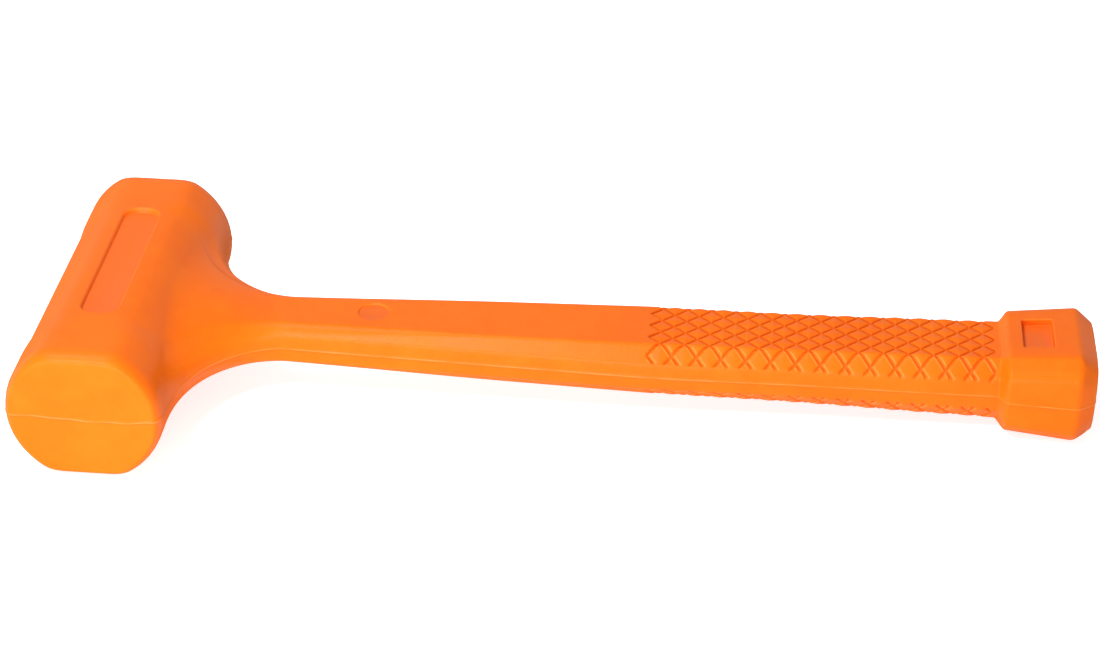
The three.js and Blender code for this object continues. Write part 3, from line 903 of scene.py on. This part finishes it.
def add_node(tree, kind, settings=(), **values):
    """A node with its properties set from settings and its input sockets from values, which are numbers or
    other sockets. A value's key is the socket's name, with _ for a space, or i and its number."""
    node = tree.nodes.new("ShaderNode" + kind)
    for key, value in dict(settings).items():
        setattr(node, key, value)
    for key, value in values.items():
        socket = node.inputs[int(key[1:]) if key[1:].isdigit() else key.replace("_", " ")]
        if isinstance(value, bpy.types.NodeSocket):
            tree.links.new(value, socket)
        else:
            socket.default_value = value
    return node


def maths(tree, operation, *values):
    """A Math node's result."""
    node = add_node(tree, "Math", {"operation": operation}, **{f"i{n}": v for n, v in enumerate(values)})
    return node.outputs[0]


def spread(tree, value, low, high, to_low, to_high):
    """A value from low to high, mapped smoothly to to_low to to_high and held there."""
    settings = {"interpolation_type": "SMOOTHSTEP"}
    node = add_node(tree, "MapRange", settings, i0=value, i1=low, i2=high, i3=to_low, i4=to_high)
    return node.outputs["Result"]


# %% Tone drift, grain and streaks
FINER_SHARE = 0.35
TONE_RANGE = (0.36, 0.64)
PIT_CHANCE = (0.5, 0.72)
PIT_SIZES = (0.02, 0.3)
PIT_DEPTH = 0.4


def tone_drift_group():
    """Slow clouds of tone: a coarse noise with a finer one over it, from 0 to 1."""
    group, start, end = new_group("tone_drift", [("Patch Size", 0.03)], ["Tone"])
    place = add_node(group, "TexCoord").outputs["Object"]
    scale = maths(group, "DIVIDE", 1.0, start.outputs["Patch Size"])
    coarse = add_node(group, "TexNoise", Vector=place, Scale=scale, Detail=2.0, Roughness=0.5)
    finer = add_node(group, "TexNoise", Vector=place, Scale=maths(group, "MULTIPLY", scale, 5.0), Detail=3.0)
    coarse_share = maths(group, "MULTIPLY", coarse.outputs[0], 1 - FINER_SHARE)
    both = maths(group, "MULTIPLY_ADD", finer.outputs[0], FINER_SHARE, coarse_share)
    group.links.new(spread(group, both, *TONE_RANGE, 0.0, 1.0), end.inputs["Tone"])
    return group


def fine_grain_group():
    """A pebbled skin: noise one grain across for its height, and sparse pits from Voronoi cells."""
    group, start, end = new_group("fine_grain", [("Grain Size", 0.0005)], ["Height", "Pits"])
    place = add_node(group, "TexCoord").outputs["Object"]
    scale = maths(group, "DIVIDE", 1.0, start.outputs["Grain Size"])
    pebbles = add_node(group, "TexNoise", Vector=place, Scale=scale, Detail=2.0, Roughness=0.6)
    cells = add_node(group, "TexVoronoi", Vector=place, Scale=maths(group, "MULTIPLY", scale, 0.22))
    wide = maths(group, "MULTIPLY", scale, 0.05)
    chance = add_node(group, "TexNoise", Vector=place, Scale=wide, Detail=2.0)
    size = spread(group, chance.outputs[0], *PIT_CHANCE, *PIT_SIZES)
    inside = maths(group, "SUBTRACT", 1.0, maths(group, "DIVIDE", cells.outputs["Distance"], size))
    pits = maths(group, "MAXIMUM", inside, 0.0)
    height = maths(group, "MULTIPLY_ADD", pits, -PIT_DEPTH, pebbles.outputs[0])
    group.links.new(height, end.inputs["Height"])
    group.links.new(pits, end.inputs["Pits"])
    return group


def streaks_group():
    """Fine lines along one axis: noise that is squeezed across it, by one stretch for each axis."""
    inputs = [("Stretch X", 1.0), ("Stretch Y", 1.0), ("Stretch Z", 1.0)]
    group, start, end = new_group("streaks", inputs, ["Lines"])
    place = add_node(group, "TexCoord").outputs["Object"]
    stretch = add_node(group, "CombineXYZ", i0=start.outputs[0], i1=start.outputs[1], i2=start.outputs[2])
    squeezed = add_node(group, "VectorMath", {"operation": "MULTIPLY"}, i0=place, i1=stretch.outputs[0])
    lines = add_node(group, "TexNoise", Vector=squeezed.outputs[0], Scale=1.0, Detail=3.0, Roughness=0.65)
    group.links.new(lines.outputs[0], end.inputs["Lines"])
    return group


groups = {group.name: group for group in (tone_drift_group(), fine_grain_group(), streaks_group())}
print("node groups:", sorted(groups))

# %% [markdown]
# ## Orange polyurethane
# Cast polyurethane is tough, a little translucent and faintly pebbled, so it has a broad soft sheen and
# its shadows stay a strong red orange. The colour drifts a little over the casting. Shade is painted into
# its colour in the grooves, on the walls of the recesses and just below the flash line, and highlights are
# painted on groove edges on the shoulders, on the rims of the recesses and on the crest of the flash. The
# floors of the recesses are duller. The pebbles hide one another where the skin turns away from the eye,
# so it gets rougher there and keeps its colour up to the edge.

# %% Orange polyurethane
ROUGHNESS = (0.28, 0.33)
TURNED_AWAY = (0.5, 0.9)
TURNED_ROUGHNESS = 0.4
# The part of the flash bell that gets a painted highlight on its crest
FLASH_HIGHLIGHT_RANGE = (0.2, 0.8)
SKIN_TONES = ((0.9, 0.148, 0.004, 1), (0.93, 0.166, 0.006, 1))
# Each mask lays its colour over the ones before it, up to its greatest share
COLOUR_LAYERS = {
    # Painted shade in the grooves of the grip
    "groove": (0.85, (0.68, 0.065, 0.002, 1)),
    # A painted glint on the groove edges of the grip's shoulders
    "edge_glint": (0.6, (1.0, 0.3, 0.06, 1)),
    # Painted shade on the walls of the recesses
    "recess_wall_shade": (0.5, (1.0, 0.09, 0.002, 1)),
    "recess_floor": (0.8, (0.84, 0.145, 0.018, 1)),
    # A painted highlight on the rounded rims of the recesses
    "recess_rim_highlight": (0.5, (1.0, 0.24, 0.02, 1)),
    "pits": (0.18, (0.85, 0.085, 0.003, 1)),
    # Painted shade just below the flash ridge
    "flash_shade": (0.45, (0.85, 0.1, 0.003, 1)),
    # A painted highlight along the crest of the flash
    "flash_highlight": (0.5, (1.0, 0.3, 0.06, 1)),
}


def set_values(node, **values):
    """Sets a node's sockets by their names, with _ for a space."""
    for key, value in values.items():
        node.inputs[key.replace("_", " ")].default_value = value


def use_group(tree, name, **values):
    """Places a shared group in a material with its own values."""
    node = tree.nodes.new("ShaderNodeGroup")
    node.node_tree = groups[name]
    set_values(node, **values)
    return node


def new_material(name):
    """A material with an empty tree apart from its output and one Principled shader."""
    material = bpy.data.materials.new(name)
    material.use_nodes = True
    tree = material.node_tree
    return material, tree, tree.nodes["Principled BSDF"]


def mixed(tree, share, first, second):
    """A colour that goes from first to second as share goes from 0 to 1."""
    node = add_node(tree, "Mix", {"data_type": "RGBA"}, i0=share, i6=first, i7=second)
    return node.outputs[2]


def polyurethane():
    """Tone drift and the layers in the colour, painted shade and highlights among them, pebble grain in the
    bump and tone in the roughness.
    """
    material, tree, shader = new_material("orange_polyurethane")
    drift = use_group(tree, "tone_drift", Patch_Size=0.028)
    grain = use_group(tree, "fine_grain", Grain_Size=0.00055)
    masks = {"pits": grain.outputs["Pits"]}
    # Masks from the mesh, most of which place painted shade or painted highlights
    for name in ("groove", "edge_glint", "flash", "flash_shade", "recess_floor", "recess_wall_shade", "recess_rim_highlight"):
        masks[name] = add_node(tree, "Attribute", {"attribute_name": name}).outputs["Fac"]
    # A painted highlight along the crest of the flash ridge
    masks["flash_highlight"] = spread(tree, masks["flash"], *FLASH_HIGHLIGHT_RANGE, 0.0, 1.0)
    colour = mixed(tree, drift.outputs["Tone"], *SKIN_TONES)
    for name, (greatest, layer_colour) in COLOUR_LAYERS.items():
        share = maths(tree, "MULTIPLY", masks[name], greatest)
        colour = mixed(tree, share, colour, layer_colour)
    tree.links.new(colour, shader.inputs["Base Color"])
    rough = spread(tree, drift.outputs["Tone"], 0.0, 1.0, *ROUGHNESS)
    facing = add_node(tree, "LayerWeight", Blend=0.5).outputs["Facing"]
    duller = spread(tree, facing, *TURNED_AWAY, 0.0, TURNED_ROUGHNESS)
    tree.links.new(maths(tree, "ADD", rough, duller), shader.inputs["Roughness"])
    bump = add_node(tree, "Bump", Strength=0.6, Distance=0.00012, Height=grain.outputs["Height"])
    tree.links.new(bump.outputs["Normal"], shader.inputs["Normal"])
    set_values(shader, Subsurface_Weight=0.12, Subsurface_Radius=(1.0, 0.3, 0.1), Subsurface_Scale=0.004)
    set_values(shader, IOR=1.48, Specular_IOR_Level=0.1)
    return material


casting_finish = polyurethane()
for piece in (upper_half, lower_half):
    piece.data.materials.append(casting_finish)
print("casting finish:", casting_finish.name)

# %% [markdown]
# ## Steel inside
# Nobody sees the steel until the casting is cut open, but each piece has the finish of its making. The
# canister is drawn tube, with lines along it. The caps are turned, with fine rings. The rod keeps its dark
# mill scale, and the shot has been tumbled bright.

# %% Steel finishes
STREAK_RANGE = (0.3, 0.7)
STREAK_SWING = 0.08
ALONG_X = (80, 2500, 2500)
ALONG_Y = (3000, 60, 3000)
RINGS = (900, 4000, 900)
EVEN = (2000, 2000, 2000)


def steel(name, dark, light, roughness, stretch, patch):
    """Steel whose tone drifts from dark to light in patches, with streaks in its roughness and its bump."""
    material, tree, shader = new_material(name)
    drift = use_group(tree, "tone_drift", Patch_Size=patch)
    lines = use_group(tree, "streaks", Stretch_X=stretch[0], Stretch_Y=stretch[1], Stretch_Z=stretch[2])
    tree.links.new(mixed(tree, drift.outputs["Tone"], dark, light), shader.inputs["Base Color"])
    rough_range = (roughness - STREAK_SWING, roughness + STREAK_SWING)
    rough = spread(tree, lines.outputs["Lines"], *STREAK_RANGE, *rough_range)
    tree.links.new(rough, shader.inputs["Roughness"])
    bump = add_node(tree, "Bump", Strength=0.2, Distance=0.00005, Height=lines.outputs["Lines"])
    tree.links.new(bump.outputs["Normal"], shader.inputs["Normal"])
    set_values(shader, Metallic=1.0)
    return material


steels = {
    "canister": steel("drawn_tube_steel", (0.3, 0.31, 0.33, 1), (0.42, 0.43, 0.45, 1), 0.4, ALONG_Y, 0.02),
    "cap": steel("turned_cap_steel", (0.36, 0.37, 0.37, 1), (0.48, 0.48, 0.48, 1), 0.35, RINGS, 0.012),
    "rod": steel("mill_scale_steel", (0.1, 0.105, 0.115, 1), (0.2, 0.2, 0.21, 1), 0.55, ALONG_X, 0.015),
    "shot": steel("tumbled_shot_steel", (0.5, 0.51, 0.52, 1), (0.62, 0.62, 0.62, 1), 0.22, EVEN, 0.004),
}


def steel_for(node):
    """The finish for a CAD node, by the word for its kind in its name."""
    return next(steels[kind] for kind in steels if kind in node)


inner_nodes = [name for name in frame["nodes"] if not name.endswith("moulding")]
for name in inner_nodes:
    mesh = frame["nodes"][name].data
    mesh.materials.clear()
    mesh.materials.append(steel_for(name))
print(f"{len(inner_nodes)} steel pieces finished in {len(steels)} steels")

# %% [markdown]
# ## Stage and light
# The photograph is a studio picture on white. The floor is a pale plane that touches the head's lower flat
# and the collar. Camera rays see it lifted to white, but it keeps the hammer's shadow. Lamps are broad and
# soft: one high overhead, a low one in front, which brightens the striking face, and one for the
# shoulders.

# %% Floor
FLOOR_HALF = 3.0
FLOOR_GAP = 0.0002
FLOOR_LIFT = 0.76

contact = np.sqrt(HEAD_RADIUS**2 - FLAT_HEIGHT**2) * MM
collar_bottom = (FLAT_HEIGHT - collar_back_height) * MM
floor_slope = collar_bottom / (COLLAR_BACK * MM - contact)


def floor_height(x):
    """A plane just below the edge of the head's flat and the lowest edge of the collar."""
    return floor_slope * (x - contact) - FLOOR_GAP


corners = np.array(((-1, -1), (1, -1), (1, 1), (-1, 1))) * FLOOR_HALF
floor_points = np.column_stack((corners, floor_height(corners[:, 0])))
floor_mesh = bpy.data.meshes.new("floor")
floor_mesh.from_pydata(floor_points, [], [(0, 1, 2, 3)])
floor = add_object("floor", floor_mesh)


def seen_directly(tree):
    """1 for camera, glossy and transmission rays and 0 for the rays that light the object."""
    path = add_node(tree, "LightPath")
    seen = maths(tree, "MAXIMUM", path.outputs["Is Camera Ray"], path.outputs["Is Glossy Ray"])
    return maths(tree, "MAXIMUM", seen, path.outputs["Is Transmission Ray"])


floor_finish, floor_tree, floor_shader = new_material("pale_floor")
set_values(floor_shader, Base_Color=(0.8, 0.8, 0.8, 1), Roughness=0.9, Emission_Color=(1, 1, 1, 1))
lift = maths(floor_tree, "MULTIPLY", seen_directly(floor_tree), FLOOR_LIFT)
floor_tree.links.new(lift, floor_shader.inputs["Emission Strength"])
floor_mesh.materials.append(floor_finish)
print(f"floor rises {floor_slope * 1000:.1f} mm in a metre")

# %% World and lamps
AMBIENT = 0.3

world = bpy.data.worlds.new("studio")
world.use_nodes = True
bpy.context.scene.world = world
world_tree = world.node_tree
background = world_tree.nodes["Background"]
set_values(background, Color=(1, 1, 1, 1))
strength = spread(world_tree, seen_directly(world_tree), 0.0, 1.0, AMBIENT, 1.0)
world_tree.links.new(strength, background.inputs["Strength"])


def soft_lamp(name, place, aim, width, height, level):
    """A lamp that lights a white surface facing it at the aim to the given level: watts = (pi d)^2 level."""
    data = bpy.data.lights.new(name, "AREA")
    data.shape = "RECTANGLE"
    data.size = width
    data.size_y = height
    way = Vector(aim) - Vector(place)
    data.energy = level * (np.pi * way.length) ** 2
    lamp = add_object(name, data)
    lamp.location = place
    lamp.rotation_euler = way.to_track_quat("-Z", "Y").to_euler()
    lamp.visible_camera = False
    return lamp


HEAD_AIM = (0.05, 0, 0.03)
FACE_AIM = (0, -0.05, 0.02)
lamps = [
    soft_lamp("overhead_lamp", (-0.3, 0.15, 1.3), HEAD_AIM, width=0.45, height=0.45, level=0.36),
    soft_lamp("low_front_lamp", (-0.05, -0.5, 0.08), FACE_AIM, width=0.5, height=0.1, level=1.22),
    soft_lamp("shoulder_lamp", (-0.14, -0.49, 0.71), HEAD_AIM, width=0.2, height=0.07, level=0.6),
]
bpy.context.scene.view_settings.view_transform = "Standard"
print("lamps:", {lamp.name: round(lamp.data.energy, 1) for lamp in lamps})
